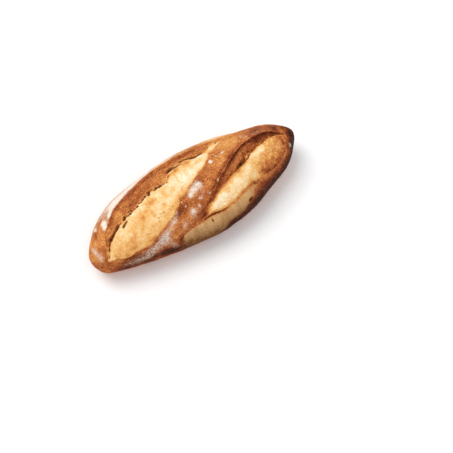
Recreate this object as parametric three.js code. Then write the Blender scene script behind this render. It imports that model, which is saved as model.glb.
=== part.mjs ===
// A scored demi-baguette: one torpedo-shaped loaf, baked in one piece on a flat hearth, with two long
// slanting cuts whose far edges lifted into ears. Millimetres, +X along the loaf towards its more pointed
// end, +Y towards its ear side, +Z up. The origin is the middle of the bounding box, on the hearth.
import * as THREE from "three";

// Driving dimensions.
const LENGTH = 250;
const HEIGHT = 62; // crown of the dome above the hearth, before the cuts
const BELLY_HEIGHT = 25; // height of the widest line, and of both tips
const BELLY_DROP = 36; // depth of the lower half before the hearth flattens it
const HEARTH_BLEND = 3; // height over which the side turns into the flat underside
const TAPER = { along: 2.8, up: 2.3 }; // powers of the superellipse that the loaf follows from the side

// Half widths at eleven stations from the blunt tip to the pointed tip, on the ear side and on the near
// side. The stations are evenly spaced in the angle whose sine gives their place along the loaf.
const EAR_SIDE = [-1.5, 10.5, 27, 40, 45, 47.5, 43, 32.5, 24.5, 9.5, 0.5];
const NEAR_SIDE = [-1.5, -18.5, -26, -34, -42, -48, -46, -35, -25, -10.5, 0.5];

// Each cut is three lines: the ear's lip, the torn line at the foot of the ear's inner face, and the far
// edge of the risen bloom. A point is [mm along the loaf, degrees round it from the crown]. Past the ends
// of its cut a line goes on to the loaf's tip, where it only carries the mesh. A cut runs out over its last
// runOut millimetres.
const CUTS = [
  {
    from: -113.5,
    to: 50,
    runOut: 40,
    lip: [
      [-125, -46], [-116, -43], [-112, -33], [-108, -17], [-104, 0], [-100, 7], [-95, 11],
      [-85, 21], [-78, 26], [-65, 29.5], [-55, 34], [-44, 37.5], [-24, 39.5], [-12, 40],
      [0, 38.5], [26, 39], [36, 38.5], [46, 37], [56, 35], [90, 38], [125, 44],
    ],
    tear: [
      [-125, -50], [-116, -49], [-112, -44], [-106, -24], [-101, -12], [-97, -7], [-88, -1.5],
      [-79, 2.5], [-66, 4], [-57, 10], [-47, 14], [-31, 15], [-22, 17], [-17, 26], [-9, 31],
      [0, 30.5], [7, 31], [15, 26], [24, 25.5], [29, 27], [34, 30.5], [40, 33.5], [48, 34],
      [56, 33], [90, 35], [125, 38],
    ],
    edge: [
      [-125, -54], [-116, -54], [-112, -54], [-101, -63], [-95, -66], [-87, -62], [-70, -58.5],
      [-54, -44], [-38, -32.5], [-25, -19.5], [-6, -6.5], [11, 3.5], [18, 7.5], [29, 18],
      [36, 22.5], [41, 26], [46, 30], [56, 31], [70, 29], [90, 29], [125, 32],
    ],
    lipRise: 2.4,
    tearDepth: 1.0,
    bloomRise: 1.2,
  },
  {
    from: -16,
    to: 108.5,
    runOut: 20,
    lip: [
      [-125, -60], [-112, -64], [-96, -73], [-80, -68], [-60, -61], [-40, -54], [-25, -50.5],
      [-15, -47], [-5, -37], [2, -32], [8, -28.2], [14, -24], [20, -18.8], [27, -15.3],
      [35, -9.5], [41, -6], [50, -0.7], [56, 2.5], [63, 5.5], [70, 7.2], [77, 8], [84, 7.6],
      [90, 6], [95, 3.2], [100, -1.5], [105, -9], [111, -16], [125, -24],
    ],
    tear: [
      [-125, -64], [-112, -69], [-96, -78], [-80, -74], [-60, -68], [-40, -58], [-25, -53],
      [-15, -49.5], [-5, -41], [2, -35.5], [8, -32.3], [14, -28.8], [21, -26], [31, -22],
      [40, -19.5], [50, -17.5], [55, -15], [60, -10.5], [66, -9], [73, -6.5], [81, -5], [89, -3],
      [98, -4], [103, -10], [107, -16], [111, -20], [125, -28],
    ],
    edge: [
      [-125, -68], [-112, -75], [-96, -84], [-80, -84], [-60, -80], [-42, -73], [-38, -66],
      [-32, -62], [-22, -59.5], [-12, -56], [-5, -54.5], [8, -56.5], [21, -55], [30, -52],
      [40, -49], [46, -47.5], [52, -50], [61, -53.5], [80, -61], [91, -57], [98, -50], [103, -38],
      [107, -28], [111, -25.5], [125, -32],
    ],
    lipRise: 3.2,
    tearDepth: 1.8,
    bloomRise: 1.6,
  },
];
const CUT_START = 20; // length over which a cut deepens from its end near the blunt tip
const LIP_SPREAD = 10; // how far back from its lip an ear lifts the crust
const FACE_HOLLOW = 0.9; // power of an ear's inner face: below 1 it drops steeply under the lip
const TEAR_SPREAD = 1.8; // how far the bloom side of a torn line slopes

// Mesh: slices along the loaf, degrees of the two lines round the underside, and the least degrees between
// neighbouring lines.
const SLICES = 72;
const HEARTH_EDGE = 126;
const UNDERSIDE = 142;
const LINE_GAP = 1.2;

const clamp = THREE.MathUtils.clamp;
const smoothstep = THREE.MathUtils.smoothstep;
const radians = THREE.MathUtils.degToRad;

// A cubic through [place, value] points, whose slope at each point is that of its two neighbours.
function curveThrough(points) {
  const slopes = points.map((_, i) => {
    const [x0, v0] = points[Math.max(i - 1, 0)];
    const [x1, v1] = points[Math.min(i + 1, points.length - 1)];
    return (v1 - v0) / (x1 - x0);
  });
  return (x) => {
    const i = clamp(points.findLastIndex((point) => point[0] <= x), 0, points.length - 2);
    const [x0, v0] = points[i];
    const [x1, v1] = points[i + 1];
    const span = x1 - x0;
    const f = clamp((x - x0) / span, 0, 1);
    const rest = 1 - f;
    return (
      v0 * (1 + 2 * f) * rest * rest +
      slopes[i] * span * f * rest * rest +
      v1 * (3 - 2 * f) * f * f -
      slopes[i + 1] * span * f * f * rest
    );
  };
}

const stationPoints = (values) => values.map((v, i) => [(2 * i) / (values.length - 1) - 1, v]);
const earSide = curveThrough(stationPoints(EAR_SIDE));
const nearSide = curveThrough(stationPoints(NEAR_SIDE));
const cuts = CUTS.map((cut) => ({
  ...cut,
  lip: curveThrough(cut.lip),
  tear: curveThrough(cut.tear),
  edge: curveThrough(cut.edge),
}));

// The uncut loaf: at station s from -1 to 1, an ellipse between the two sides, whose height shrinks towards
// the tips and whose underside the hearth has flattened.
function loafPoint(s, angle) {
  const x = (LENGTH / 2) * Math.sin((Math.PI / 2) * s);
  const middle = (earSide(s) + nearSide(s)) / 2;
  const halfWidth = (earSide(s) - nearSide(s)) / 2;
  const shrink = (1 - Math.abs((2 * x) / LENGTH) ** TAPER.along) ** (1 / TAPER.up);
  const up = Math.cos(radians(angle));
  const z = BELLY_HEIGHT + shrink * up * (up > 0 ? HEIGHT - BELLY_HEIGHT : BELLY_DROP);
  const blended = (z + HEARTH_BLEND) ** 2 / (4 * HEARTH_BLEND);
  const rested = z > HEARTH_BLEND ? z : z < -HEARTH_BLEND ? 0 : blended;
  return new THREE.Vector3(x, middle + halfWidth * Math.sin(radians(angle)), rested);
}

// The outward normal and the millimetres in one degree round the section, from nearby points on each side.
function loafFrame(s, angle) {
  const step = 0.002;
  const round = loafPoint(s, angle - 1).sub(loafPoint(s, angle + 1));
  const along = loafPoint(s + step, angle).sub(loafPoint(s - step, angle));
  const perDegree = round.length() / 2;
  return { normal: round.cross(along).normalize(), perDegree };
}

// Height of the crust over the uncut loaf: an ear rises to its lip and drops to the torn line, and beyond
// it the bloom swells up and sinks again to its edge.
function relief(x, angle, perDegree) {
  let height = 0;
  for (const cut of cuts) {
    const fade =
      smoothstep(x, cut.from, cut.from + CUT_START) * (1 - smoothstep(x, cut.to - cut.runOut, cut.to));
    const lip = cut.lip(x);
    const tear = cut.tear(x);
    const edge = cut.edge(x);
    if (angle >= lip) {
      const back = ((angle - lip) * perDegree) / LIP_SPREAD;
      height += fade * cut.lipRise * Math.exp(-back * back);
    } else if (angle >= tear) {
      const down = (lip - angle) / (lip - tear);
      height += fade * (cut.lipRise - (cut.lipRise + cut.tearDepth) * down ** FACE_HOLLOW);
    } else if (angle >= edge) {
      const across = (tear - angle) / (tear - edge);
      const out = ((tear - angle) * perDegree) / TEAR_SPREAD;
      height += fade * (cut.bloomRise * Math.sin(Math.PI * across) - cut.tearDepth * Math.exp(-out));
    }
  }
  return height;
}

// The lines that the mesh rows follow, from the middle of the underside up the ear side, over the crown and
// down the near side, with the number of rows from each line to the next.
const lines = [
  { at: () => 180, rows: 3 },
  { at: () => UNDERSIDE, rows: 4 },
  { at: () => HEARTH_EDGE, rows: 6 },
  ...cuts.flatMap((cut) => [
    { at: cut.lip, rows: 5 },
    { at: cut.tear, rows: 7 },
    { at: cut.edge, rows: 6 },
  ]),
  { at: () => -HEARTH_EDGE, rows: 4 },
  { at: () => -UNDERSIDE, rows: 3 },
  { at: () => -180, rows: 0 },
];

function rowAngles(x) {
  const angles = lines.map((line) => line.at(x));
  for (let i = 1; i < angles.length; i += 1) {
    angles[i] = Math.min(angles[i], angles[i - 1] - LINE_GAP);
  }
  return lines.flatMap(({ rows }, i) =>
    Array.from({ length: rows }, (_, k) => THREE.MathUtils.lerp(angles[i], angles[i + 1], k / rows)),
  );
}

function loafGeometry() {
  const rows = rowAngles(0).length;
  const positions = [];
  for (let i = 1; i < SLICES; i += 1) {
    const s = (2 * i) / SLICES - 1;
    const x = loafPoint(s, 0).x;
    for (const angle of rowAngles(x)) {
      const { normal, perDegree } = loafFrame(s, angle);
      const point = loafPoint(s, angle).addScaledVector(normal, relief(x, angle, perDegree));
      positions.push(point.x, point.y, Math.max(point.z, 0));
    }
  }
  const bluntTip = (SLICES - 1) * rows;
  const pointedTip = bluntTip + 1;
  positions.push(...loafPoint(-1, 0), ...loafPoint(1, 0));

  const index = [];
  const lastSlice = (SLICES - 2) * rows;
  for (let k = 0; k < rows; k += 1) {
    const next = (k + 1) % rows;
    for (let start = 0; start < lastSlice; start += rows) {
      index.push(start + k, start + next, start + rows + k);
      index.push(start + next, start + rows + next, start + rows + k);
    }
    index.push(bluntTip, next, k, pointedTip, lastSlice + k, lastSlice + next);
  }

  const geometry = new THREE.BufferGeometry();
  geometry.setAttribute("position", new THREE.Float32BufferAttribute(positions, 3));
  geometry.setIndex(index);
  geometry.computeBoundingBox();
  const centre = geometry.boundingBox.getCenter(new THREE.Vector3());
  geometry.translate(-centre.x, -centre.y, 0);
  geometry.computeVertexNormals();
  return geometry;
}

const crust = new THREE.MeshStandardMaterial({ color: "#c98a4c", roughness: 0.8, metalness: 0 });
const loaf = new THREE.Mesh(loafGeometry(), crust);
loaf.name = "loaf";

const baguette = new THREE.Group();
baguette.add(loaf);

export default baguette;
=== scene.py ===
import math

import bpy
import numpy as np
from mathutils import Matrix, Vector


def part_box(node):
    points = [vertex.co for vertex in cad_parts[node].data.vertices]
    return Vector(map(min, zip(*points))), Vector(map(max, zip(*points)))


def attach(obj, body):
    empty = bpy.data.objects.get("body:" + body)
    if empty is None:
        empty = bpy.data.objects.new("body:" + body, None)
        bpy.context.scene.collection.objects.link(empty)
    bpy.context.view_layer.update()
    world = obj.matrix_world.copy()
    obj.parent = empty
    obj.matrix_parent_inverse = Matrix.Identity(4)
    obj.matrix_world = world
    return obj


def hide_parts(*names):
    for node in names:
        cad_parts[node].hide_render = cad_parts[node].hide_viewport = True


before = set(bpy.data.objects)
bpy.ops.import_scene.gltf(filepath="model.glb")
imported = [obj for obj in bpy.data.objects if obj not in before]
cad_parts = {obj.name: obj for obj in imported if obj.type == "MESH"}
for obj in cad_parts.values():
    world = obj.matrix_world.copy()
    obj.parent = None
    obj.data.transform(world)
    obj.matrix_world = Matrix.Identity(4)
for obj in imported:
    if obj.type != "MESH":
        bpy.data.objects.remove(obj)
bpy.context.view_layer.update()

# ---- Studio ----
# A wide pale table in an even white room, under soft daylight: one large soft lamp high up to the loaf's
# left and a weaker one in front of it to the right. Nothing here belongs to the loaf.
loaf_low, loaf_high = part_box("loaf")
loaf_middle = (loaf_low + loaf_high) / 2

VIEW_TURN = math.radians(36)  # the camera stands this far round from the loaf's near side
VIEW_TILT = math.radians(62)  # and looks down this steeply
CAMERA_DISTANCE = 1.0762
CAMERA_REACH = 20
LENS_MM = 85
SENSOR_MM = 36
AIM_HEIGHT = 0.030  # it aims at a point this high over the middle of the loaf's base,
AIM_RIGHT = 0.0324  # moved this far to the right
AIM_DOWN = 0.0338  # and this far down, as the camera sees it
ROOM_LIGHT = 0.64

# Straight ahead of the camera along the table, to its right, along its line of sight, and up its view.
level = Vector((math.sin(VIEW_TURN), math.cos(VIEW_TURN), 0))
right = Vector((math.cos(VIEW_TURN), -math.sin(VIEW_TURN), 0))
forward = level * math.cos(VIEW_TILT) - Vector((0, 0, math.sin(VIEW_TILT)))
up = right.cross(forward)
aim = Vector((0, 0, AIM_HEIGHT)) + right * AIM_RIGHT - up * AIM_DOWN
camera_data = bpy.data.cameras.new("camera")
camera_data.lens = LENS_MM
camera_data.sensor_width = SENSOR_MM
camera_data.clip_end = CAMERA_REACH
camera = bpy.data.objects.new("camera", camera_data)
camera.location = aim - forward * CAMERA_DISTANCE
camera.rotation_euler = forward.to_track_quat("-Z", "Y").to_euler()
scene = bpy.context.scene
scene.collection.objects.link(camera)
scene.camera = camera
scene.view_settings.view_transform = "Standard"

room = bpy.data.worlds.new("room")
room.use_nodes = True
room.node_tree.nodes["Background"].inputs["Color"].default_value = (1.0, 1.0, 1.0, 1.0)
room.node_tree.nodes["Background"].inputs["Strength"].default_value = ROOM_LIGHT
scene.world = room


def soft_lamp(name, direction, distance, size, power):
    """A square area lamp at a distance along a direction from the loaf's middle, facing it."""
    data = bpy.data.lights.new(name, "AREA")
    data.size = size
    data.energy = power
    lamp = bpy.data.objects.new(name, data)
    away = direction.normalized()
    lamp.location = loaf_middle + away * distance
    lamp.rotation_euler = away.to_track_quat("Z", "Y").to_euler()
    scene.collection.objects.link(lamp)


overhead = Vector((0, 0, 1.0))
soft_lamp("window", overhead + level * 0.15 - right * 0.45, distance=4.0, size=2.6, power=84)
soft_lamp("reflector", overhead - level * 0.6 + right * 0.3, distance=4.0, size=3.0, power=22)

TABLE_SIZE = 6.0
half = TABLE_SIZE / 2
corners = [(-half, -half, 0), (half, -half, 0), (half, half, 0), (-half, half, 0)]
table_mesh = bpy.data.meshes.new("table")
table_mesh.from_pydata(corners, [], [(0, 1, 2, 3)])
table = bpy.data.objects.new("table", table_mesh)
scene.collection.objects.link(table)
pale = bpy.data.materials.new("pale table")
pale.use_nodes = True
pale.node_tree.nodes["Principled BSDF"].inputs["Base Color"].default_value = (0.98, 0.98, 0.98, 1.0)
pale.node_tree.nodes["Principled BSDF"].inputs["Roughness"].default_value = 0.9
table_mesh.materials.append(pale)


# ---- The loaf: its shape before the cuts opened ----
# Wheat dough rolled into a torpedo with one blunt and one more pointed tip, laid on a hearth and baked in
# one piece. Its section is an ellipse, flattened underneath where it lay.
MM = 0.001
HALF_LENGTH = (loaf_high.x - loaf_low.x) / 2
CROWN = 62 * MM
BELLY = 25 * MM  # height of the widest line and of both tips
BELLY_DROP = 36 * MM  # depth of the lower half before the hearth flattens it
HEARTH_BLEND = 3 * MM  # height over which the side turns into the flat underside
TAPER_ALONG = 2.8  # powers of the superellipse that the loaf follows from the side
TAPER_UP = 2.3
FAR_SIDE = np.array([-1.5, 10.5, 27, 40, 45, 47.5, 43, 32.5, 24.5, 9.5, 0.5]) * MM
NEAR_SIDE = np.array([-1.5, -18.5, -26, -34, -42, -48, -46, -35, -25, -10.5, 0.5]) * MM
STATIONS = np.linspace(-1, 1, len(FAR_SIDE))


def curve_through(places, values, at):
    """A cubic through points, whose slope at each point is that of the chord between its two neighbours;
    before the first point and after the last it stays level."""
    places, values = np.asarray(places, float), np.asarray(values, float)
    before = np.r_[0, np.arange(len(places) - 1)]
    after = np.r_[np.arange(1, len(places)), len(places) - 1]
    slopes = (values[after] - values[before]) / (places[after] - places[before])
    at = np.clip(at, places[0], places[-1])
    i = np.clip(np.searchsorted(places, at, side="right") - 1, 0, len(places) - 2)
    span = places[i + 1] - places[i]
    f = (at - places[i]) / span
    g = 1 - f
    start = values[i] * (1 + 2 * f) + slopes[i] * span * f
    end = values[i + 1] * (1 + 2 * g) - slopes[i + 1] * span * g
    return start * g**2 + end * f**2


def uncut(station, degrees):
    """Points of the uncut loaf. x is the half length times the sine of a quarter turn times the station; y
    runs between the two sides as the sine of the angle round from the crown; z rises from the belly line
    as its cosine times a superellipse along the loaf, and a square law turns it into the hearth's plane."""
    x = HALF_LENGTH * np.sin(station * math.pi / 2)
    far = curve_through(STATIONS, FAR_SIDE, station)
    near = curve_through(STATIONS, NEAR_SIDE, station)
    turn = np.radians(degrees)
    y = (far + near) / 2 + (far - near) / 2 * np.sin(turn)
    bulge = np.maximum(1 - np.abs(x / HALF_LENGTH) ** TAPER_ALONG, 0) ** (1 / TAPER_UP)
    rise = np.where(np.cos(turn) > 0, CROWN - BELLY, BELLY_DROP)
    z = BELLY + bulge * rise * np.cos(turn)
    blended = (z + HEARTH_BLEND) ** 2 / (4 * HEARTH_BLEND)
    z = np.where(z > HEARTH_BLEND, z, np.where(z < -HEARTH_BLEND, 0, blended))
    return np.stack(np.broadcast_arrays(x, y, z), axis=-1)


def station_at(x):
    """The station whose place along the loaf is x."""
    return np.arcsin(np.clip(x / HALF_LENGTH, -1, 1)) * 2 / math.pi


# Lines on the crust, as millimetres along the loaf and degrees round it from the crown. Each of the two
# cuts has the lip of its ear, the torn line at the foot of the ear's inner face, and the near edge of the
# dough that rose out of it. Past the ends of its cut a line runs on to the tips and only carries the mesh.
LIP_1 = [
    (-125, -46), (-116, -43), (-112, -33), (-108, -17), (-104, 0), (-100, 7), (-95, 11), (-85, 21),
    (-78, 26), (-65, 29.5), (-55, 34), (-44, 37.5), (-24, 39.5), (-12, 40), (0, 38.5), (26, 39),
    (36, 38.5), (46, 37), (56, 35), (90, 38), (125, 44),
]
TEAR_1 = [
    (-125, -50), (-116, -49), (-112, -44), (-106, -24), (-101, -12), (-97, -7), (-88, -1.5), (-79, 2.5),
    (-66, 4), (-57, 10), (-47, 14), (-31, 15), (-22, 17), (-17, 26), (-9, 31), (0, 30.5), (7, 31),
    (15, 26), (24, 25.5), (29, 27), (34, 30.5), (40, 33.5), (48, 34), (56, 33), (90, 35), (125, 38),
]
EDGE_1 = [
    (-125, -54), (-116, -54), (-112, -54), (-101, -63), (-95, -66), (-87, -62), (-70, -58.5),
    (-54, -44), (-38, -32.5), (-25, -19.5), (-6, -6.5), (11, 3.5), (18, 7.5), (29, 18), (36, 22.5),
    (41, 26), (46, 30), (56, 31), (70, 29), (90, 29), (125, 32),
]
LIP_2 = [
    (-125, -60), (-112, -64), (-96, -73), (-80, -68), (-60, -61), (-40, -54), (-25, -50.5), (-15, -47),
    (-5, -37), (2, -32), (8, -28.2), (14, -24), (20, -18.8), (27, -15.3), (35, -9.5), (41, -6), (50, -0.7),
    (56, 2.5), (63, 5.5), (70, 7.2), (77, 8), (84, 7.6), (90, 6), (95, 3.2), (100, -1.5), (105, -9),
    (111, -16), (125, -24),
]
TEAR_2 = [
    (-125, -64), (-112, -69), (-96, -78), (-80, -74), (-60, -68), (-40, -58), (-25, -53), (-15, -49.5),
    (-5, -41), (2, -35.5), (8, -32.3), (14, -28.8), (21, -26), (31, -22), (40, -19.5), (50, -17.5),
    (55, -15), (60, -10.5), (66, -9), (73, -6.5), (81, -5), (89, -3), (98, -4), (103, -10), (107, -16),
    (111, -20), (125, -28),
]
EDGE_2 = [
    (-125, -68), (-112, -75), (-96, -84), (-80, -84), (-60, -80), (-42, -73), (-38, -66), (-32, -62),
    (-22, -59.5), (-12, -56), (-5, -54.5), (8, -56.5), (21, -55), (30, -52), (40, -49), (46, -47.5),
    (52, -50), (61, -53.5), (80, -61), (91, -57), (98, -50), (103, -38), (107, -28), (111, -25.5),
    (125, -32),
]


def along_line(line, x):
    """Degrees round the loaf at which a line lies, at places x in metres along the loaf."""
    return curve_through([place * MM for place, _ in line], [turn for _, turn in line], x)


# The mesh is a grid of slices along the loaf and rows round it. Slices are evenly spaced along its skin, and
# rows follow the lines. Each entry of the row plan is a line, or an angle in degrees, and the number of rows
# from it to the next, which suits the detail there.
SLICES = 330
LEAST_GAP = 1.2  # degrees between neighbouring lines
ROW_PLAN = [
    (180, 8), (142, 8), (126, 14), (90, 34), (LIP_1, 30), (TEAR_1, 52), (EDGE_1, 30), (LIP_2, 28),
    (TEAR_2, 40), (EDGE_2, 20), (-90, 18), (-126, 8), (-142, 8),
]


def even_stations():
    """Stations of the slices, evenly spaced by the length of the skin between them, seen half from the
    side and half from above."""
    fine = np.linspace(-1, 1, 4001)
    crown = uncut(fine, 0.0)
    flank = uncut(fine, 90.0)
    steps = np.linalg.norm(np.diff(crown, axis=0), axis=1) + np.linalg.norm(np.diff(flank, axis=0), axis=1)
    length = np.r_[0, np.cumsum(steps)]
    return np.interp(np.linspace(0, length[-1], SLICES + 1), length, fine)[1:-1]


def row_degrees(x):
    """Degrees of every row at every slice: the lines of the row plan, kept apart by the least gap, with
    even steps between them."""
    lines = [np.full_like(x, line) if isinstance(line, int) else along_line(line, x) for line, _ in ROW_PLAN]
    for k in range(1, len(lines)):
        lines[k] = np.minimum(lines[k], lines[k - 1] - LEAST_GAP)
    lines.append(np.full_like(x, -180))
    columns = []
    for k, (_, count) in enumerate(ROW_PLAN):
        share = np.arange(count) / count
        columns.append(lines[k][:, None] * (1 - share) + lines[k + 1][:, None] * share)
    return np.concatenate(columns, axis=1)


SMALL_TURN = 0.5  # the skin's directions are taken between points this many degrees to each side
SMALL_STEP = 0.001  # and this far to each side in stations
station = even_stations()[:, None]
degrees = row_degrees(HALF_LENGTH * np.sin(station[:, 0] * math.pi / 2))
skin = uncut(station, degrees)
round_way = uncut(station, degrees + SMALL_TURN) - uncut(station, degrees - SMALL_TURN)
long_way = uncut(station + SMALL_STEP, degrees) - uncut(station - SMALL_STEP, degrees)
outward = np.cross(long_way, round_way)
outward /= np.linalg.norm(outward, axis=-1, keepdims=True)
per_degree = np.linalg.norm(round_way, axis=-1) / (2 * SMALL_TURN)
x_along = skin[..., 0]
above_hearth = skin[..., 2]


# ---- The loaf: its two cuts ----
# Each slash of the baker's blade opened in the oven. Its far side curled up into an ear with a thin dark
# lip; the ear's inner face runs down to a ragged torn line, and beyond it pale new dough, the bloom,
# swelled up to the cut's near edge.
CUT_1_ENDS = (-113.5 * MM, 50 * MM)
CUT_2_ENDS = (-16 * MM, 108.5 * MM)
CUT_START = 20 * MM  # length over which a cut opens from its end near the blunt tip
MARK_FADE = 5 * MM  # length over which its shallow marks fade in and out
LIP_SPREAD = 10 * MM  # how far back from its lip an ear lifts the crust
LIP_STEP = 1.0 * MM  # how far it takes to drop over the lip
FACE_HOLLOW = 0.9  # power of an ear's inner face: below 1 it drops steeply under the lip
BLOOM_FULLNESS = 0.7  # power of the bloom's swell: below 1 it is flatter on top than a sine
TEAR_SPREAD = 1.8 * MM  # half breadth of the groove along a torn line
RIM_HEIGHT = 0.6 * MM  # the crust stands up a little along the near edge of a cut
RIM_SPREAD = 4 * MM
CREASE_DEPTH = 0.6 * MM
CREASE_WIDTH = 1.0 * MM
CREASE_FADE = 20 * MM
TEAR_RAGGEDNESS = 0.8  # shares of the common raggedness in the torn line and in the near edge
EDGE_RAGGEDNESS = 0.6
PIT_DEPTH = 1.7 * MM
SETTLED = 6 * MM  # below this height the relief fades out towards the hearth


def smooth(low, high, value):
    """0 at low, 1 at high, and a smooth step between. Where low is the greater, it rises the other way."""
    t = np.clip((value - low) / (high - low), 0, 1)
    return t * t * (3 - 2 * t)


def along(start, full):
    """0 at one place along the loaf, 1 at another, both in millimetres, and a smooth step between."""
    return smooth(start * MM, full * MM, x_along)


def around(start, full):
    """0 at one angle round the loaf, 1 at another, both in degrees, and a smooth step between."""
    return smooth(start, full, degrees)


def bell(value, width):
    """1 at zero, falling off on both sides as a bell curve of that width."""
    return np.exp(-((value / width) ** 2))


lattice = np.random.default_rng(7).uniform(-1, 1, (48, 48, 48))


def lumps(size, seed, stretch=(1, 1, 1)):
    """Smooth random lumps over the skin, from -1 to 1: random values on a lattice of that size in metres,
    blended between its corners with smooth steps. The seed shifts the lattice."""
    places = skin / (size * np.array(stretch)) + np.array([17.3, 5.9, 11.7]) * seed
    corner = np.floor(places).astype(int)
    part = places - corner
    part = part * part * (3 - 2 * part)
    total = np.zeros(skin.shape[:2])
    for dx in (0, 1):
        for dy in (0, 1):
            for dz in (0, 1):
                share = np.abs(1 - dx - part[..., 0]) * np.abs(1 - dy - part[..., 1])
                share = share * np.abs(1 - dz - part[..., 2])
                index = (corner + np.array([dx, dy, dz])) % len(lattice)
                total += share * lattice[index[..., 0], index[..., 1], index[..., 2]]
    return total


def layers(*parts):
    """Lumps of several sizes added up. Each part is (strength, size in millimetres, seed)."""
    return sum(strength * lumps(size * MM, seed) for strength, size, seed in parts)


def distance_to(line, ends):
    """Metres from every point of the skin to a line between two places along the loaf, positive on the
    line's far side. The line is taken as points about a millimetre apart."""
    xs = np.linspace(ends[0], ends[1], 180)
    nearest = np.full(skin.shape[:2], np.inf)
    for point in uncut(station_at(xs), along_line(line, xs)):
        nearest = np.minimum(nearest, ((skin - point) ** 2).sum(axis=-1))
    side = np.where(degrees > along_line(line, x_along), 1, -1)
    return np.sqrt(nearest) * side


def within(ends, fades):
    """1 along a cut, fading from 0 and back to 0 over a length at each end."""
    opening = smooth(ends[0], ends[0] + fades[0], x_along)
    closing = smooth(ends[1], ends[1] - fades[1], x_along)
    return opening * closing


def ovals(places):
    """A bell of distance for each soft oval on the skin, with its strength. An oval is (millimetres along,
    degrees round, half length, half breadth, slant in degrees, strength); the distance is measured along
    the loaf and round it and turned by the slant."""
    for x, turn, length, breadth, slant, strength in places:
        onward = x_along / MM - x
        upward = (degrees - turn) * per_degree / MM
        lean = math.radians(slant)
        a = (onward * math.cos(lean) + upward * math.sin(lean)) / length
        b = (upward * math.cos(lean) - onward * math.sin(lean)) / breadth
        yield strength * np.exp(-(a**2) - b**2)


def cover(places):
    """Soft ovals laid over one another, from 0 to 1."""
    bare = np.ones(skin.shape[:2])
    for oval in ovals(places):
        bare *= 1 - oval
    return 1 - bare


ragged = layers((0.7, 4.5, 1), (0.5, 1.8, 2)) * MM


class Cut:
    """What one cut does to the skin. The crust rises to the lip as a bell and drops over it, and the inner
    face falls on to the torn line; from there the bloom rises as a power of the sine of its share of the
    way across, and ends in a shallow crease at the near edge. The cut closes over its run-out at the end
    near the pointed tip, and its crease has faded out at creased_to."""

    def __init__(
        self, lip, tear, edge, ends, run_out, creased_to, lip_rise, lip_drop, tear_depth, bloom_rise
    ):
        self.from_lip = distance_to(lip, ends)
        self.from_tear = distance_to(tear, ends) + ragged * TEAR_RAGGEDNESS
        self.from_edge = distance_to(edge, ends) + ragged * EDGE_RAGGEDNESS
        self.opened = within(ends, (CUT_START, run_out))
        self.marked = within(ends, (MARK_FADE, MARK_FADE))
        self.creased = smooth(creased_to, creased_to - CREASE_FADE, x_along)
        inside = (x_along > ends[0]) & (x_along < ends[1])
        on_face = inside & (self.from_lip < 0) & (self.from_tear > 0)
        on_bloom = inside & (self.from_tear <= 0) & (self.from_edge > 0)
        self.face = on_face * 1.0
        self.bloom = on_bloom * 1.0
        tiny = 1e-9
        to_lip, to_tear, to_edge = np.abs(self.from_lip), np.abs(self.from_tear), np.abs(self.from_edge)
        down = to_lip / (to_lip + to_tear + tiny)
        across = to_tear / (to_tear + to_edge + tiny)
        behind = lip_rise * bell(np.maximum(self.from_lip, 0), LIP_SPREAD) * self.opened
        drop = lip_drop * smooth(0, LIP_STEP, -self.from_lip)
        fall = (lip_rise - lip_drop + tear_depth) * down**FACE_HOLLOW
        inner = (lip_rise - drop - fall) * self.opened
        groove = tear_depth * bell(self.from_tear, TEAR_SPREAD)
        swell = (bloom_rise * np.sin(math.pi * across) ** BLOOM_FULLNESS - groove) * self.opened
        rim = RIM_HEIGHT * bell(self.from_edge, RIM_SPREAD) * self.marked
        crease = CREASE_DEPTH * bell(self.from_edge, CREASE_WIDTH) * self.marked * self.creased
        outside = np.where(self.from_lip > 0, behind, rim)
        self.height = np.where(on_face, inner, np.where(on_bloom, swell, outside)) - crease


cut_1 = Cut(
    LIP_1,
    TEAR_1,
    EDGE_1,
    CUT_1_ENDS,
    run_out=40 * MM,
    creased_to=50 * MM,
    lip_rise=2.4 * MM,
    lip_drop=0.9 * MM,
    tear_depth=1.0 * MM,
    bloom_rise=1.2 * MM,
)
cut_2 = Cut(
    LIP_2,
    TEAR_2,
    EDGE_2,
    CUT_2_ENDS,
    run_out=20 * MM,
    creased_to=66 * MM,
    lip_rise=3.2 * MM,
    lip_drop=1.2 * MM,
    tear_depth=1.8 * MM,
    bloom_rise=1.6 * MM,
)
face = np.maximum(cut_1.face, cut_2.face)
bloom = np.maximum(cut_1.bloom, cut_2.bloom)
closed = 1 - np.maximum(face, bloom)

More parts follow.
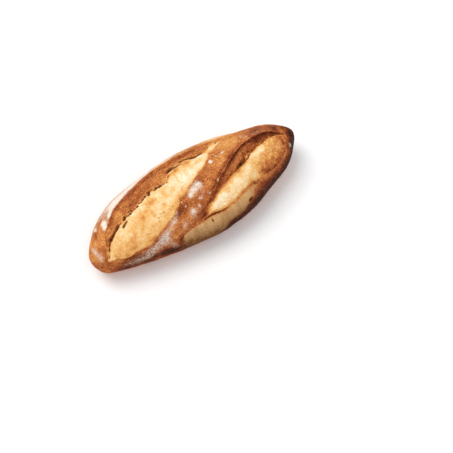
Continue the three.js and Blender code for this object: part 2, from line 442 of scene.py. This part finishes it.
# Where the dough tore it left pits and short slits, most of them strung along the torn lines, which are
# flecked with small holes between them.
PITS = [
    # Along the first cut's torn line.
    (-110.5, -42, 3, 0.7, 55, 0.5), (-107.2, -27, 2.2, 0.9, 60, 0.8), (-104.5, -18.5, 1.8, 0.9, 55, 0.8),
    (-101.3, -12.5, 2.4, 2.1, 45, 1), (-98, -10, 2, 1.6, 20, 1), (-95.3, -7.5, 2.2, 1.4, 20, 1),
    (-92, -5.5, 2, 1.4, 20, 1), (-89, -3, 2.7, 1.6, 25, 1), (-85, -2, 1.2, 0.9, 0, 0.5),
    (-84, -9.5, 2.2, 1.3, 25, 0.9), (-80.5, -7, 2.9, 1, 20, 0.8), (-80, 0, 2, 1.6, 30, 1),
    (-78.5, 3, 1.6, 1.7, 0, 0.9), (-75, 1, 1.5, 1.2, 0, 0.8), (-73, 6, 1.2, 0.7, 20, 0.5),
    (-72, 1.5, 1.5, 1.4, 0, 1), (-69, 3, 1.3, 1, 0, 0.7), (-66, 3.5, 1.3, 1, 0, 0.7),
    (-62.5, 4.5, 1.8, 1.3, 20, 0.95), (-59, 8, 1.1, 1.2, 0, 0.8), (-57, 7, 1.3, 1.2, 20, 0.8),
    (-54, 9.5, 1.8, 1.4, 20, 0.9), (-50.5, 11.5, 1.6, 1.3, 20, 0.9), (-49.5, 14, 1, 0.7, 0, 0.5),
    (-46.5, 10.5, 1.8, 1.4, 20, 1), (-45, 15, 2.2, 1.8, 30, 1), (-38.5, 12.5, 2, 1.3, 10, 0.9),
    (-36, 14.5, 1.7, 1.6, 0, 1), (-33.8, 12, 1.3, 1, 0, 0.7), (-31.8, 13.5, 2.2, 1.7, 20, 1),
    (-28, 13, 1.8, 0.91, 10, 0.6), (-27, 17, 1, 0.6, 0, 0.4), (-24.5, 12, 1.6, 0.91, 0, 0.6),
    (-13, 28.5, 5.6, 2.6, 12, 1), (-6, 26, 4.5, 1.2, 2, 0.9), (-1, 27, 2.2, 0.78, 0, 0.6),
    (1.5, 32, 2.7, 1.2, 0, 0.8), (6.5, 31, 2.2, 1.2, -10, 0.9), (12.3, 27.3, 4.6, 2.8, -28, 1),
    (15, 25.5, 1.7, 1.6, -30, 0.8), (20.5, 26, 3.8, 1.2, -5, 0.85),
    # Along the second cut's torn line.
    (-4, -39, 6, 0.6, 33, 0.3), (4, -32.5, 6, 0.6, 25, 0.25), (14, -21.5, 2.2, 1.3, 30, 0.8),
    (29, -20, 1.5, 0.7, 20, 0.4), (33, -21.5, 2.5, 1.1, 15, 0.7), (38, -21, 2, 1, 10, 0.7),
    (43, -19, 2.5, 1.1, 10, 0.8), (48, -17, 4.2, 2.2, 12, 1), (53, -17, 2, 1, 30, 0.8),
    (56.5, -16.5, 2, 1.2, 0, 0.7), (60, -13.5, 2.2, 1.2, 30, 0.8), (64, -11, 2, 0.9, 15, 0.6),
    (68, -9.5, 2, 0.9, 10, 0.7), (71.5, -7.5, 1.6, 0.9, 10, 0.8), (76, -7.5, 2, 0.9, 5, 0.8),
    (80.5, -7, 2, 1.1, 0, 0.9), (85, -5.5, 1.8, 0.9, 0, 0.8), (89, -4.5, 1.8, 0.9, 0, 0.8),
    (94, -4.5, 1.8, 1, 0, 0.9), (97.5, -4.5, 1.6, 1.1, 0, 1), (102, -8, 2.5, 0.7, -60, 0.5),
    # On the blooms and the closed crust.
    (-96, -67.5, 4, 0.9, 5, 0.8), (-90, -65.5, 3, 0.8, 20, 0.7), (-53, -30, 1.3, 0.9, 0, 0.4),
    (-52, -26, 1.3, 0.9, 10, 0.46), (-48.5, -22, 1.3, 0.8, 10, 0.46), (-45, -22.5, 1.5, 0.9, 0, 0.46),
    (-32, -82, 0.8, 4.5, 12, 0.6), (-6.8, -62.5, 0.7, 2.6, 5, 1), (12, -84, 6, 1, 8, 0.5),
    (29, 12, 1.2, 0.9, 0, 0.7), (39.5, -70.5, 3.4, 2.8, 0, 1), (50, -52, 2.5, 1.5, -60, 0.7),
    (64, -46, 2.6, 1, -60, 0.5), (66.5, -46.5, 2.4, 0.8, -60, 0.4), (112.8, 12, 1.3, 4.5, 0, 1),
]
flecks = 0.75 * smooth(0.12, 0.75, lumps(1.7 * MM, 30))
flecked_1 = bell(cut_1.from_tear - 0.6 * MM, 2.0 * MM) * along(-104, -84) * cut_1.marked
flecked_2 = bell(cut_2.from_tear - 1.0 * MM, 2.4 * MM) * along(28, 50) * cut_2.marked
pits = np.maximum(cover(PITS), flecks * np.maximum(flecked_1, flecked_2))

# The skin is lumpy all over, and each part of it has a finer roughness of its own.
height = cut_1.height + cut_2.height
height += layers((0.45, 24, 3), (0.3, 10, 4)) * MM
height += closed * layers((0.12, 3.5, 5), (0.10, 1.9, 6)) * MM
height += face * layers((0.35, 4.0, 7), (0.2, 1.8, 8)) * MM
height += bloom * layers((0.25, 6.0, 9), (0.1, 2.5, 10)) * MM
height -= PIT_DEPTH * pits**1.5
height *= smooth(0.0, SETTLED, above_hearth)
shaped = skin + outward * height[..., None]


# ---- The loaf: its bake, with painted shade ----
# Crust browns by how hot it ran. How far each place browned, from 0 for white dough to 1 for burnt, is one
# field over the skin, worked out apart for the closed crust, the ears' inner faces and the blooms; the same
# field also carries painted shade, low on the near flank, under the second ear's lip, in a crack and down
# the wall. The flour dusted on it, among which lie a few painted highlights, and the beige wall where it
# touched a neighbour in the oven, are two more.

# Tones are soft ovals that darken a place, or lighten it where their strength is below 0.
CRUST_TONES = [
    # Round the blunt tip.
    (-120, 20, 5, 30, 0, 0.04), (-118, 0, 5, 20, 0, -0.06), (-116, -60, 8, 10, 0, 0.04),
    (-113, -30, 5, 10, 0, 0.12), (-112, 48, 12, 8, 0, 0.1), (-109, 42, 2, 10, 0, 0.12),
    (-107, -82, 7, 8, 0, -0.04), (-107, -12, 4, 16, 0, -0.08),
    # On the far side, behind the first ear.
    (-34, 42, 22, 1.6, 0, 0.16), (-32, 50, 24, 5, 0, -0.24), (-8, 50, 26, 4, 0, -0.2),
    (-4, 48, 20, 3, 0, -0.1), (48, 52, 16, 6, 0, -0.42), (98, 42, 8, 8, 0, -0.14),
    # Between the cuts, behind the second ear.
    (-23, -40, 5, 3, 30, -0.06), (-14, -46, 10, 5, 28, 0.2), (-5, -28, 9, 4, 30, 0.1),
    (4, -28, 9, 1.5, 28, 0.08), (12, -20, 8, 3, 30, 0.05), (20, -6, 22, 7, 28, 0.04),
    (24, -4, 18, 8, 28, -0.12), (26, -12, 14, 2, 30, 0.12), (46, 0, 11, 2.6, 25, 0.12),
    (52, 20, 18, 9, 10, -0.18), (58, 8, 12, 2, 25, 0.03), (64, 18, 4, 5, 0, 0.12),
    (86, 24, 12, 10, 0, 0.12), (100, 22, 6, 10, 0, 0.1),
    # On the near side, where the darker tones low on the flank are partly painted shade.
    (-92, -80, 18, 9, 0, 0.06), (-80, -70, 26, 10, 15, 0.12), (-74, -86, 24, 7, 0, 0.08),
    (-64, -60, 20, 5, 25, 0.08), (-54, -88, 9, 5, 0, 0.16), (-47, -46, 8, 3.5, 30, -0.18),
    (-46, -62, 4, 3, 0, -0.1), (-42, -59, 8, 3, 20, -0.1), (-41, -70, 5, 5, 30, 0.18),
    (-36, -33, 6, 2.5, 30, 0.06), (-29, -28, 10, 5, 30, 0.16), (-28, -50, 12, 5, 20, -0.02),
    (60, -88, 30, 10, 0, 0.06), (70, -74, 20, 9, 0, -0.06), (80, -66, 6, 6, -60, 0.1),
    (84, -54, 10, 4, 0, 0.12),
    # Round the pointed tip.
    (104, 8, 5, 6, 0, 0.16), (106, 8, 5, 10, 0, 0.08), (106, -50, 6, 6, 0, 0.12),
    (107, -12, 3.5, 12, 0, -0.2), (112, -14, 4, 12, 0, -0.2), (112, 0, 8, 20, 0, 0.12),
    (113, -70, 6, 14, 0, 0.3),
]
mottled = 0.60 + layers((0.05, 22, 11), (0.07, 8, 12), (0.03, 3, 17))
# Low on the near flank the crust is darker, partly its own browning and partly painted shade; this and the
# paler patches fade out below the belly.
browner_and_shaded = 0.20 * around(-62, -95) * along(-118, -100)
browner_and_shaded += 0.22 * around(-62, -78) * along(-30, 0) * along(62, 40)
browner_and_shaded += 0.20 * around(-50, -72) * along(40, 62)
paler = 0.10 * around(-60, -30) * along(-92, -112) + 0.10 * around(35, 60) * along(10, -20)
above_belly = smooth(135, 92, np.abs(degrees))
pointed_tip = 0.24 * along(104, 118)
bake = mottled + (browner_and_shaded - paler) * above_belly + pointed_tip + sum(ovals(CRUST_TONES))
bake += 0.12 * bell(cut_1.from_lip, 1.3 * MM) * cut_1.opened * along(-102, -90)
bake += 0.10 * bell(cut_2.from_lip - 1.5 * MM, 3.4 * MM) * cut_2.opened * along(58, 36)

# Towards the pointed tip the second cut has no sharp near edge: crust and bloom melt into each other.
melting = bell(cut_2.from_edge, 6 * MM) * along(56, 72) * along(106, 96)
bake -= 0.16 * melting

# An ear's inner face is darkest under its lip and lightest at its foot; under the second ear's lip that dark
# band is partly painted shade.
FACE_TONES = [
    # In the first cut.
    (-109, -34, 3, 5, 0, -0.1), (-104, 6, 3, 5, 0, 0.06), (-98, 4, 5, 6, 40, -0.16),
    (-96, 4, 6, 5, 40, 0.06), (-84, 16, 6, 4, 30, -0.1), (-66, 14, 5, 2, 20, 0.12),
    (-66, 28, 10, 3, 28, -0.08), (-53, 19, 7, 3, 20, 0.12), (-52, 38, 8, 4, 15, -0.08),
    (-32, 28, 14, 4, 0, -0.06), (-24, 40, 24, 3, 0, -0.1), (-22, 20, 8, 3, 0, -0.12),
    (5, 35, 26, 2.5, 0, -0.06), (42, 33, 6, 4, 0, -0.14),
    # In the second cut.
    (14, -27, 7, 3, 30, 0.04), (44, -11, 12, 3, 22, -0.08), (60, -5, 8, 3, 25, 0.08),
    (72, 0, 8, 2.5, 15, 0.08), (81, 4, 10, 3.6, 0, 0.2),
]
DARKEST_FACE = 0.89
under_lip_1 = bell(cut_1.from_lip + 1.2 * MM, 2.2 * MM) * along(-102, -86) * along(34, 10)
# Under the second ear's lip the dark band is partly the crust's browning and partly painted shade of the
# overhanging ear.
shaded_under_lip_2 = bell(cut_2.from_lip, 2.2 * MM) * (0.35 + 0.65 * along(8, 34))
inner = 0.57 + layers((0.05, 3.2, 13), (0.06, 9, 14)) + sum(ovals(FACE_TONES))
inner += (0.15 + 0.10 * lumps(6 * MM, 32)) * under_lip_1
inner += 0.24 * shaded_under_lip_2 + 0.06 * cut_2.face
inner -= 0.08 * bell(cut_1.from_tear, 2.0 * MM)
inner = np.minimum(inner, DARKEST_FACE)

# A bloom is pale with small brown islands, toasted along its edges, and golden all over where the second
# one rises towards the pointed tip.
BLOOM_TONES = [
    # In the first cut.
    (-97, -24, 9, 14, 0, 0.1), (-96, -45, 14, 8, 0, 0.12), (-96, -58, 14, 4, 0, 0.12),
    (-90, -14, 8, 5, 20, -0.05), (-88, -38, 5, 2, 30, 0.08), (-86, -4, 6, 4, 20, 0.1),
    (-84, -48, 6, 2, 10, 0.08), (-80, -12, 8, 5, 20, 0.08), (-78, -22, 6, 3, 20, 0.1),
    (-72, -55, 8, 4, 10, 0.12), (-72, -30, 4, 2, 40, 0.12), (-66, -16, 15, 6, 28, 0.16),
    (-66, -40, 20, 6, 22, 0.1), (-66, -28, 3, 3, 0, 0.1), (-62, -50, 22, 4, 20, 0.12),
    (-56, 2, 3, 2, 0, 0.1), (-50, -4, 6, 5, 30, 0.14), (-38, 7, 8, 2.5, 10, 0.1),
    (-34, -10, 10, 4, 20, 0.06), (-33, 4, 5, 1.5, 20, 0.12), (-30, -18, 22, 3, 28, 0.2),
    (-20, 2, 6, 2, 20, 0.06), (-15, 20, 8, 2.2, 0, 0.26), (-8, 4, 22, 7, 20, -0.09),
    (0, 12, 12, 4, 25, -0.08), (4, 22, 9, 2.2, 0, 0.22), (5, 14, 4, 2.5, 0, 0.08),
    (25, 24, 10, 4, 10, -0.06),
    # In the second cut.
    (-12, -50, 6, 4, 20, 0.34), (4, -47, 6, 3, 15, 0.12), (6, -40, 10, 5, 25, -0.12),
    (20, -36, 16, 5, 20, -0.1), (22, -44, 5, 2, 20, 0.08), (26, -30, 8, 4, 20, 0.14),
    (30, -50, 18, 2.5, 8, 0.14), (33, -48, 12, 3, 10, -0.1), (34, -62, 8, 3, 0, 0.1),
    (36, -24, 8, 3, 15, 0.1), (40, -28, 6, 3, 20, 0.1), (44, -42, 8, 4, 20, 0.1), (52, -36, 6, 3, 30, 0.12),
    (58, -22, 6, 3, 20, 0.08), (66, -50, 10, 7, 0, 0.2), (80, -15, 12, 4, 5, -0.22),
    (104, -25, 5, 14, 0, 0.14),
]
islands = 0.13 * smooth(0.05, 0.5, lumps(5 * MM, 33))
golden = np.maximum(along(52, 72) * around(-12, -26), along(66, 84))
speckled = 0.29 + layers((0.11, 1.7, 18), (0.04, 4, 19))
risen = 0.14 + layers((0.06, 9, 15), (0.04, 3.5, 16)) + islands + sum(ovals(BLOOM_TONES))
risen = risen * (1 - golden * 0.4) + speckled * golden
risen += 0.08 * around(-34, -58) * along(56, 76) + 0.12 * along(92, 106) + 0.24 * melting
risen += 0.26 * bell(cut_1.from_edge, 1.4 * MM) + 0.20 * bell(cut_2.from_edge, 2.6 * MM) * cut_2.creased
toasted = (1 - golden * 0.7) * along(100, 92) * (0.5 + 0.5 * along(8, 30))
risen += 0.16 * bell(cut_1.from_tear, 1.5 * MM) + 0.36 * bell(cut_2.from_tear, 2.8 * MM) * toasted
risen += 0.28 * bell(cut_2.from_tear, 4.5 * MM) * along(36, 14)
bake = np.where(face > 0, inner, np.where(bloom > 0, risen, bake))

# A crack runs along the near edge of the second cut by its blunt end: the shade in it is painted as a dark
# line, with browner crust beside it.
cracked = along(-20, -12) * along(22, 6)
crack_shade = bell(cut_2.from_edge - 0.3 * MM, 1.7 * MM) * cracked
beside_crack = bell(cut_2.from_edge - 1.0 * MM, 3.6 * MM) * cracked
bake = np.maximum(bake, np.maximum(0.50 * beside_crack, 0.92 * crack_shade))

# Flour was rubbed on the dough before it was cut, so only the closed crust has it, and the first ear's lip
# has lost it. A few narrow patches just behind the second ear's lip, laid in with it, are painted
# highlights.
FLOUR_AND_GLINTS = [
    # Round the blunt tip.
    (-119, 12, 2.5, 12, 0, 0.5), (-117, -28, 3, 7, 0, 0.4), (-114, 6, 9, 26, 0, 0.2),
    (-106, 44, 2, 6, 0, 0.66),
    # On the far side, behind the first ear.
    (-100, 50, 10, 6, 0, 0.4), (-98.5, 14, 3.4, 3.2, 50, 1), (-97, 24, 3.2, 5, 30, 0.95),
    (-93, 34, 5, 4, 30, 0.4), (-88, 24, 6, 3, 40, 0.85), (-88, 60, 12, 9, 0, 0.45),
    (-79, 35, 8, 5.5, 24, 1), (-76, 47, 13, 5, 10, 0.8), (-70, 37, 12, 5, 15, 1), (-60, 62, 26, 9, 0, 0.62),
    (-55, 43, 15, 5, 10, 1), (-40, 82, 30, 8, 0, 0.3), (-38, 50, 16, 4.5, 0, 1), (-24, 68, 18, 8, 0, 0.5),
    (-8, 52, 16, 4.5, 0, 0.75), (6, 60, 12, 7, 0, 0.35),
    # Between the cuts, behind the second ear; the narrow patches just behind its lip are painted highlights.
    (-24, -28.5, 1.1, 1.1, 0, 0.9), (-22, -52, 18, 6, 20, 0.22), (-20, -37.5, 5, 4.5, 0, 0.58),
    (-14, -19, 4, 3, 22, 0.6), (-12, -35, 2, 3, 0, 0.5), (-9, -14.5, 8, 5.5, 22, 0.74),
    (-7, -27, 3, 2.5, 0, 0.4), (-4, -25, 7, 4, 30, 0.42), (-1, -11, 5, 6, 10, 0.68),
    (3, -27.5, 3, 1.8, 28, 0.5), (12, 4, 4, 1.5, 20, 0.35), (17, -19.5, 2.4, 1, 30, 0.75),
    (23.5, 6.5, 2.8, 2.8, 40, 0.95), (27, -13, 3, 0.9, 30, 0.5), (31, 14.5, 1.6, 1, 30, 0.6),
    (31, -2.5, 2, 1, 0, 0.4), (32, 10, 1.6, 1.4, 0, 0.8), (39, 10, 3.2, 2, 10, 0.75),
    (50, 1.8, 3, 0.8, 25, 0.5), (67, 24, 1.8, 5, -20, 0.45), (69, 15, 4, 3.5, 0, 0.42),
    (78, 28, 10, 7, 0, 0.26), (82, 13.5, 13, 3.2, -3, 0.4),
    # On the near side.
    (-98, -80, 11, 7, 0, 0.28), (-80, -75, 17, 8, 15, 0.4), (-76, -88, 26, 7, 4, 0.2),
    (-66, -65, 14, 8, 24, 0.44), (-54, -52, 10, 6, 30, 0.56), (-54, -66, 7, 6, 0, 0.3),
    (-49, -79, 4.5, 7, 30, 0.46), (-41.5, -39.5, 9, 4.5, 34, 0.6), (-35, -30, 4, 1.5, 30, 0.5),
    (-34, -50, 2, 5, -20, 0.4), (-26, -46, 18, 6, 28, 0.3), (-25, -21, 1, 1, 0, 0.9),
    (47.5, -56, 4, 3, 0, 0.5), (54, -70, 8, 6, 0, 0.2), (86, -72, 20, 9, 0, 0.22),
    # Round the pointed tip.
    (109, -52, 2.6, 4.6, 20, 0.62),
]
flour = cover(FLOUR_AND_GLINTS) * closed
flour *= smooth(-0.05, 0.45, flour + layers((0.28, 3.2, 41), (0.16, 1.6, 42)))
behind_lip = (cut_1.from_lip > 0) & (cut_1.marked > 0)
flour *= np.where(behind_lip, smooth(-0.4 * MM, 0.5 * MM, cut_1.from_lip), 1)

# The wall reaches from the second cut's near edge down to its foot, a line of millimetres along the loaf and
# degrees round it. It is streaked from top to bottom and darkens downwards, partly as painted shade under
# the loaf's curve.
WALL_FOOT = [
    (-125, -125), (-44, -120), (-20, -112), (-6, -108), (4, -94), (11, -84), (17, -81), (29, -78), (36, -73),
    (42, -68), (48, -60), (60, -50), (125, -50),
]
wall_top = cut_2.from_edge + 1.5 * MM * along(20, 44)
above_foot = degrees - along_line(WALL_FOOT, x_along) + 5 * lumps(5 * MM, 31)
wall = smooth(0.5 * MM, -3.5 * MM, wall_top) * smooth(-4, 4, above_foot)
wall *= along(-44, -36) * along(54, 38) * (1 - crack_shade)
streaks = 0.14 * lumps(2.6 * MM, 20, (0.8, 5, 5)) + 0.16 * lumps(9 * MM, 21, (0.7, 2, 2))
scorch = 0.14 * cover([(-25, -67, 4, 5, 0, 1)])
# Darker downwards: partly the wall's own tone, partly painted shade.
wall_tone_and_shade = 0.20 + 0.90 * around(-56, -98) + streaks + scorch
bake = bake * (1 - wall) + wall_tone_and_shade * wall

# The underside baked evenly on a floured hearth.
under = smooth(1.0 * MM, 0, above_hearth)
under_bake = 0.62 + layers((0.08, 12, 22), (0.06, 4, 23))
bake = bake * (1 - under) + under_bake * under
flour = np.maximum(flour, under * (0.30 + 0.25 * lumps(16 * MM, 24)))
bake = np.clip(bake, 0, 1)

# Blisters are strongest on top, weaker on the blooms and weakest on the sheltered flanks.
sheltered = np.maximum(around(62, 100), around(-88, -118))
blistered = 0.75 - 0.30 * bloom - 0.35 * sheltered


# ---- The loaf: its mesh ----
# One closed skin, because the loaf is one piece: the grid of slices and rows, joined up round the loaf, and
# a fan of triangles on each tip. Its points carry the fields that the crust's colours follow.
rows = degrees.shape[1]
slices = len(degrees)
tips = uncut(np.array([-1.0, 1.0]), 0.0)
points = np.concatenate([shaped.reshape(-1, 3), tips])
i, k = np.meshgrid(np.arange(slices - 1), np.arange(rows), indexing="ij")
after = (k + 1) % rows
quads = np.stack([i * rows + k, i * rows + after, (i + 1) * rows + after, (i + 1) * rows + k], axis=-1)
k = np.arange(rows)
after = (k + 1) % rows
last = (slices - 1) * rows
blunt_fan = np.stack([np.full(rows, slices * rows), after, k], axis=-1)
pointed_fan = np.stack([np.full(rows, slices * rows + 1), last + k, last + after], axis=-1)
mesh = bpy.data.meshes.new("crusty_loaf")
facets = quads.reshape(-1, 4).tolist() + blunt_fan.tolist() + pointed_fan.tolist()
mesh.from_pydata(points.tolist(), [], facets)
mesh.polygons.foreach_set("use_smooth", [True] * len(mesh.polygons))


def keep(name, values, at_tips):
    """Stores a field of the grid on the mesh's points, with its values at the blunt and pointed tips."""
    attribute = mesh.attributes.new(name, "FLOAT", "POINT")
    attribute.data.foreach_set("value", np.r_[values.ravel(), at_tips].astype(np.float32))


keep("bake", bake, (0.45, 0.8))
keep("flour", flour, (0.0, 0.0))
keep("wall", wall, (0.0, 0.0))
keep("pits", pits, (0.0, 0.0))
keep("torn", face, (0.0, 0.0))
keep("blistered", blistered, (0.5, 0.6))
loaf = bpy.data.objects.new("crusty_loaf", mesh)
scene.collection.objects.link(loaf)


# ---- The loaf: its crust ----
# Dry wheat crust, the dough's own skin browned by the oven: a little smoother where it is dark and rougher
# under flour, with fine blisters all over and a coarser grain on the torn faces. Its colour also carries
# painted shade and a few painted highlights.
crust = bpy.data.materials.new("baked_crust_and_painted_light")
crust.use_nodes = True
crust.node_tree.nodes.clear()


class Shade:
    """The output of a node in the crust's material. Arithmetic on a number adds Math nodes."""

    tree = crust.node_tree

    def __init__(self, socket):
        self.socket = socket

    @classmethod
    def node(cls, kind, settings, inputs, output=0):
        """Adds a node: its settings are set first, a ramp's stops among them, then its sockets get values
        or links. Gives the output of that name or number, if the node has outputs."""
        node = cls.tree.nodes.new(kind)
        for name, value in settings.items():
            if name == "stops":
                ramp = node.color_ramp.elements
                while len(ramp) < len(value):
                    ramp.new(1.0)
                for element, (place, tone) in zip(ramp, value):
                    element.position = place
                    element.color = tone
            else:
                setattr(node, name, value)
        for name, value in inputs.items():
            if isinstance(value, Shade):
                cls.tree.links.new(value.socket, node.inputs[name])
            else:
                node.inputs[name].default_value = value
        return cls(node.outputs[output]) if node.outputs else None

    def math(self, operation, first, second):
        """A Math node on two numbers."""
        return self.node("ShaderNodeMath", {"operation": operation}, {0: first, 1: second})

    def __add__(self, other):
        return self.math("ADD", self, other)

    def __sub__(self, other):
        return self.math("SUBTRACT", self, other)

    def __rsub__(self, other):
        return self.math("SUBTRACT", other, self)

    def __mul__(self, other):
        return self.math("MULTIPLY", self, other)

    __radd__ = __add__
    __rmul__ = __mul__


def field(name):
    """A field stored on the mesh."""
    return Shade.node("ShaderNodeAttribute", {"attribute_name": name}, {}, "Fac")


crust_place = Shade.node("ShaderNodeTexCoord", {}, {}, "Object")


def mottle(size, detail, roughness=0.6):
    """Fractal noise from 0 to 1 whose largest lumps are of a size in metres."""
    inputs = {"Vector": crust_place, "Scale": 1 / size, "Detail": detail, "Roughness": roughness}
    return Shade.node("ShaderNodeTexNoise", {}, inputs)


def step(value, low, high):
    """0 below low, 1 above high, and a smooth step between."""
    inputs = {"Value": value, "From Min": low, "From Max": high}
    return Shade.node("ShaderNodeMapRange", {"interpolation_type": "SMOOTHSTEP"}, inputs)


def mix(share, first, second):
    """The second colour laid over the first by a share. The colours of a Mix node are its inputs 6 and 7
    and its output 2."""
    inputs = {0: share, 6: first, 7: second}
    return Shade.node("ShaderNodeMix", {"data_type": "RGBA"}, inputs, 2)


def colour(code):
    """Linear red, green, blue and alpha of a colour written as six hexadecimal digits."""
    parts = [int(code[k : k + 2], 16) / 255 for k in (0, 2, 4)]
    return tuple(c / 12.92 if c <= 0.04045 else ((c + 0.055) / 1.055) ** 2.4 for c in parts) + (1.0,)


# From white dough to burnt crust.
BROWNING = [
    (0.00, colour("fff0d4")), (0.12, colour("f8d9a8")), (0.25, colour("f0be76")), (0.38, colour("e3a15a")),
    (0.50, colour("cb8044")), (0.62, colour("b06032")), (0.74, colour("8e4626")), (0.86, colour("5e2812")),
    (1.00, colour("2a1106")),
]
WALL_PALE = colour("e2b078")
WALL_DARK = colour("683c16")
# The flour colours also paint the highlights behind the second ear's lip.
THIN_FLOUR_AND_GLINT = colour("cfa283")
THICK_FLOUR_AND_GLINT = colour("f6ebdc")
# Pit colours: brown crust for the rim, and painted shade for the bottom.
PIT_RIM = colour("86491f")
PIT_SHADE = colour("41200e")

# How far the crust browned, painted shade included, shows through its blisters, which are of three sizes.
fine = mottle(0.9 * MM, 2.0) - 0.5
middling = mottle(2.4 * MM, 3.0, 0.7) - 0.5
coarse = mottle(6.0 * MM, 3.0) - 0.5
baked_and_shaded = field("bake") + fine * field("blistered") * 1.35 + middling * 0.35 + coarse * 0.25
browned_and_shaded = Shade.node("ShaderNodeValToRGB", {"stops": BROWNING}, {"Fac": baked_and_shaded}, "Color")
with_wall = mix(field("wall"), browned_and_shaded, mix(baked_and_shaded, WALL_PALE, WALL_DARK))

# Flour lies in grains that thin out towards the edge of each patch, and the painted highlights behind the
# second ear's lip are laid in the same way.
dust_and_glints = field("flour")
grains = step(mottle(1.3 * MM, 1.0), 0.58, 0.70) * dust_and_glints
clouds = mottle(2.0 * MM, 3.0, 0.75) - 0.5
dusting_and_glints = step(dust_and_glints * 1.5 + clouds * 2.1 + grains * 1.2, 0.28, 1.40)
dust_and_glint_colour = mix(step(dust_and_glints, 0.30, 0.80), THIN_FLOUR_AND_GLINT, THICK_FLOUR_AND_GLINT)
dusted_and_glinting = mix(dusting_and_glints * 0.92, with_wall, dust_and_glint_colour)

# A pit is brown inside its rim, with painted shade darkening its bottom.
hollow = field("pits")
rimmed = mix(step(hollow, 0.14, 0.50) * 0.94, dusted_and_glinting, PIT_RIM)
pitted_and_shaded = mix(step(hollow, 0.50, 0.90) * 0.88, rimmed, PIT_SHADE)

blisters = mottle(2.2 * MM, 4.0, 0.65)
relief = blisters + fine * (0.6 + field("torn") * 1.2)
bump_inputs = {"Strength": 0.6, "Distance": 0.5 * MM, "Height": relief}
surface_inputs = {
    "Base Color": pitted_and_shaded,
    "Roughness": 0.80 - field("bake") * 0.15 + dusting_and_glints * 0.2,
    "Normal": Shade.node("ShaderNodeBump", {}, bump_inputs),
    "Specular IOR Level": 0.05,
}
surface = Shade.node("ShaderNodeBsdfPrincipled", {}, surface_inputs)
Shade.node("ShaderNodeOutputMaterial", {}, {"Surface": surface})
mesh.materials.append(crust)
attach(loaf, "root")
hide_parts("loaf")
